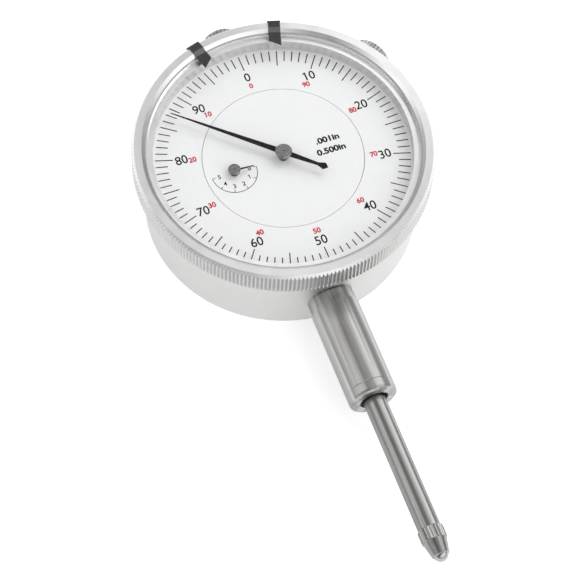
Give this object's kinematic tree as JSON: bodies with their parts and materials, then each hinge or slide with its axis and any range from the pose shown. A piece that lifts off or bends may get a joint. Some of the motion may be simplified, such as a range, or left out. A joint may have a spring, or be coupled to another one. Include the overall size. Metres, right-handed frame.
{
  "type": "dial indicator",
  "caption": "Round-faced dial indicator: knurled turning bezel with limit markers and a clamp screw, a clamping stem, and a sprung spindle with a ball contact.",
  "frame": {"origin": "centre of the flat back face, on the dial axis", "axes": "+Z out of the dial, +Y from the stem towards the dust cap (12 o'clock on the dial), +X to the right of the dial as it is read"},
  "size_m": [0.0586, 0.1214, 0.0215],
  "materials": {
    "case_steel": "satin plated, turned",
    "bezel_steel": "satin plated, straight knurled rim",
    "stem_steel": "hardened and ground lengthwise",
    "spindle_steel": "hardened, ground and polished",
    "contact_steel": "turned, knurled collar",
    "ball_steel": "polished",
    "knob_steel": "satin plated, straight knurled",
    "screw_steel": "turned and polished",
    "plate_brass": "milled and brushed",
    "gear_brass": "cut and polished",
    "arbor_steel": "turned and burnished",
    "spring_steel": "drawn wire",
    "hairspring_bronze": "rolled strip",
    "crystal_clear": "clear, polished",
    "gasket_rubber": "matte black",
    "dial_paint": "satin white with printed scale",
    "hand_paint": "satin black",
    "hub_steel": "turned, bevelled edge",
    "marker_steel": "satin blackened sheet"
  },
  "bodies": {
    "case": {"case": "case_steel", "back_cover": "case_steel", "back_cover_screws": "screw_steel", "stem": "stem_steel", "stem_bushing": "stem_steel", "upper_bushing": "stem_steel", "dust_cap": "knob_steel", "rear_plate": "plate_brass", "rear_plate_screws": "screw_steel", "front_plate": "plate_brass", "plate_pillar_1": "plate_brass", "plate_pillar_2": "plate_brass", "plate_pillar_3": "plate_brass", "front_plate_screws": "screw_steel", "arbor_bridge": "plate_brass", "bridge_screw": "screw_steel", "spindle_guide": "plate_brass", "spindle_guide_screws": "screw_steel", "spring_post": "screw_steel", "return_spring": "spring_steel", "hairspring": "hairspring_bronze", "hairspring_stud": "screw_steel", "inner_dial": "dial_paint", "bezel_retaining_wire": "spring_steel", "rack_lower_bush": "gear_brass", "centre_lower_bush": "gear_brass", "counter_lower_bush": "gear_brass", "takeup_lower_bush": "gear_brass", "rack_upper_bush": "gear_brass", "centre_upper_bush": "gear_brass", "counter_upper_bush": "gear_brass", "takeup_upper_bush": "gear_brass"},
    "spindle": {"spindle": "spindle_steel", "cross_pin": "screw_steel", "contact_point": "contact_steel", "contact_ball": "ball_steel"},
    "rack_arbor": {"rack_arbor": "arbor_steel", "rack_pinion": "arbor_steel", "rack_gear": "gear_brass", "counter_drive_gear": "gear_brass"},
    "pointer": {"centre_arbor": "arbor_steel", "centre_pinion": "arbor_steel", "main_hand": "hand_paint", "main_hand_hub": "hub_steel"},
    "turn_counter": {"counter_arbor": "arbor_steel", "counter_gear": "gear_brass", "counter_hand": "hand_paint", "counter_hand_hub": "hub_steel"},
    "takeup": {"takeup_arbor": "arbor_steel", "takeup_gear": "gear_brass", "hairspring_collet": "gear_brass"},
    "bezel": {"bezel": "bezel_steel", "crystal": "crystal_clear", "crystal_gasket": "gasket_rubber", "outer_dial": "dial_paint"},
    "limit_marker_left": {"limit_marker_left": "marker_steel"},
    "limit_marker_right": {"limit_marker_right": "marker_steel"},
    "clamp_screw": {"clamp_screw": "knob_steel"},
    "clamp_shoe": {"clamp_shoe": "plate_brass"}
  },
  "joints": [
    {"name": "spindle_slide", "type": "slide", "parent": "case", "child": "spindle", "axis": [0, 1, 0], "range_m": [0, 0.0132], "stiffness_N_per_m": 50, "springref_m": -0.015, "deforming": ["return_spring"]},
    {"name": "rack_arbor_turn", "type": "hinge", "parent": "case", "child": "rack_arbor", "pos_m": [-0.00357, 0.00625, 0.0109], "axis": [0, 0, 1], "range_deg": [0, 376]},
    {"name": "pointer_turn", "type": "hinge", "parent": "case", "child": "pointer", "pos_m": [0, 0, 0.0109], "axis": [0, 0, 1], "range_deg": [-1873, 0]},
    {"name": "counter_turn", "type": "hinge", "parent": "case", "child": "turn_counter", "pos_m": [-0.01015, -0.00025, 0.0127], "axis": [0, 0, 1], "range_deg": [-189, 0]},
    {"name": "takeup_turn", "type": "hinge", "parent": "case", "child": "takeup", "pos_m": [0.00357, -0.00625, 0.0124], "axis": [0, 0, 1], "range_deg": [0, 376], "deforming": ["hairspring"]},
    {"name": "bezel_turn", "type": "hinge", "parent": "case", "child": "bezel", "pos_m": [0, 0, 0.0175], "axis": [0, 0, 1], "continuous": true},
    {"name": "marker_left_slide", "type": "hinge", "parent": "bezel", "child": "limit_marker_left", "pos_m": [0, 0, 0.0212], "axis": [0, 0, 1], "range_deg": [-13, 150]},
    {"name": "marker_right_slide", "type": "hinge", "parent": "bezel", "child": "limit_marker_right", "pos_m": [0, 0, 0.0212], "axis": [0, 0, 1], "range_deg": [-150, 13]},
    {"name": "clamp_turn", "type": "hinge", "parent": "case", "child": "clamp_screw", "pos_m": [0.02249, 0.01701, 0.0112], "axis": [-0.7976, -0.6032, 0], "range_deg": [0, 162]},
    {"name": "clamp_shoe_slide", "type": "slide", "parent": "case", "child": "clamp_shoe", "axis": [0.7976, 0.6032, 0], "range_m": [0, 0.000222]}
  ],
  "couplings": [
    {"joint": "rack_arbor_turn", "follows": "spindle_slide", "rad_per_m": 494.74},
    {"joint": "pointer_turn", "follows": "spindle_slide", "rad_per_m": -2473.7},
    {"joint": "counter_turn", "follows": "spindle_slide", "rad_per_m": -247.37},
    {"joint": "takeup_turn", "follows": "spindle_slide", "rad_per_m": 494.74},
    {"joint": "clamp_turn", "follows": "clamp_shoe_slide", "rad_per_m": 12566}
  ]
}
